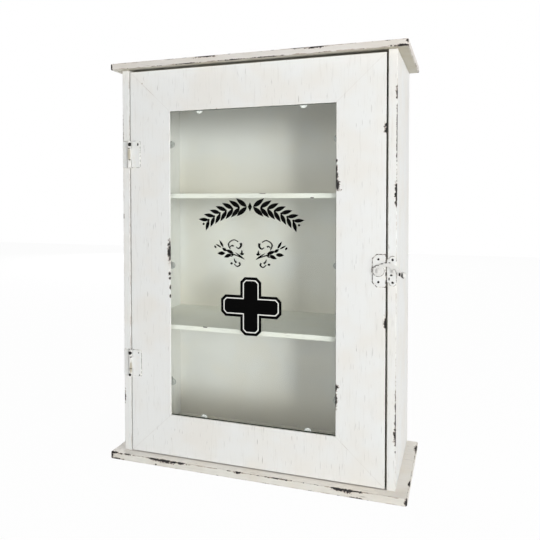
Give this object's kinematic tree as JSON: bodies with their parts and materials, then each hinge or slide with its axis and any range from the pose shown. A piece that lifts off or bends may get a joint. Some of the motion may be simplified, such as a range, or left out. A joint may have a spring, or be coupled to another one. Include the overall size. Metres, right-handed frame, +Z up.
{
  "type": "medicine cabinet",
  "caption": "Wall medicine cabinet: a painted wooden box with shelves and an inset glazed door on butt hinges, closed by a swinging hook latch.",
  "frame": {"origin": "middle of the base board's underside", "axes": "+X to the right seen from the front, +Y towards the wall, +Z up"},
  "size_m": [0.363, 0.174, 0.5],
  "materials": {
    "painted_wood": "worn white paint",
    "bare_wood": "bare",
    "painted_metal": "worn white paint",
    "steel": "dull",
    "clear_plastic": "gloss",
    "glass": "clear"
  },
  "bodies": {
    "cabinet": {"top_board": "painted_wood", "base_board": "painted_wood", "left_side": "painted_wood", "right_side": "painted_wood", "back_panel": "painted_wood", "upper_shelf": "painted_wood", "lower_shelf": "painted_wood", "hanging_rail": "painted_wood", "carcass_dowels": "bare_wood", "rail_dowels": "bare_wood", "back_panel_nails": "steel", "upper_hinge_frame_leaf": "painted_metal", "lower_hinge_frame_leaf": "painted_metal", "upper_hinge_pin": "steel", "lower_hinge_pin": "steel", "hinge_frame_screws": "steel", "catch_plate": "painted_metal", "catch_pin": "painted_metal", "catch_screws": "steel"},
    "door": {"left_stile": "painted_wood", "right_stile": "painted_wood", "top_rail": "painted_wood", "bottom_rail": "painted_wood", "mitre_keys": "bare_wood", "glass_pane": "glass", "top_left_clip": "clear_plastic", "top_right_clip": "clear_plastic", "bottom_left_clip": "clear_plastic", "bottom_right_clip": "clear_plastic", "left_upper_clip": "clear_plastic", "left_middle_clip": "clear_plastic", "left_lower_clip": "clear_plastic", "right_upper_clip": "clear_plastic", "right_middle_clip": "clear_plastic", "right_lower_clip": "clear_plastic", "clip_screws": "steel", "upper_hinge_door_leaf": "painted_metal", "lower_hinge_door_leaf": "painted_metal", "hinge_door_screws": "steel", "latch_plate": "painted_metal", "latch_screws": "steel", "pivot_rivet": "steel"},
    "latch_hook": {"hook": "painted_metal"}
  },
  "joints": [
    {"name": "door_hinge", "type": "hinge", "parent": "cabinet", "child": "door", "pos_m": [-0.15775, -0.0759, 0.2505], "axis": [0, 0, -1], "range_deg": [0, 175]},
    {"name": "hook_swing", "type": "hinge", "parent": "door", "child": "latch_hook", "pos_m": [0.1488, -0.0756, 0.2515], "axis": [0, -1, 0], "range_deg": [0, 120]}
  ]
}
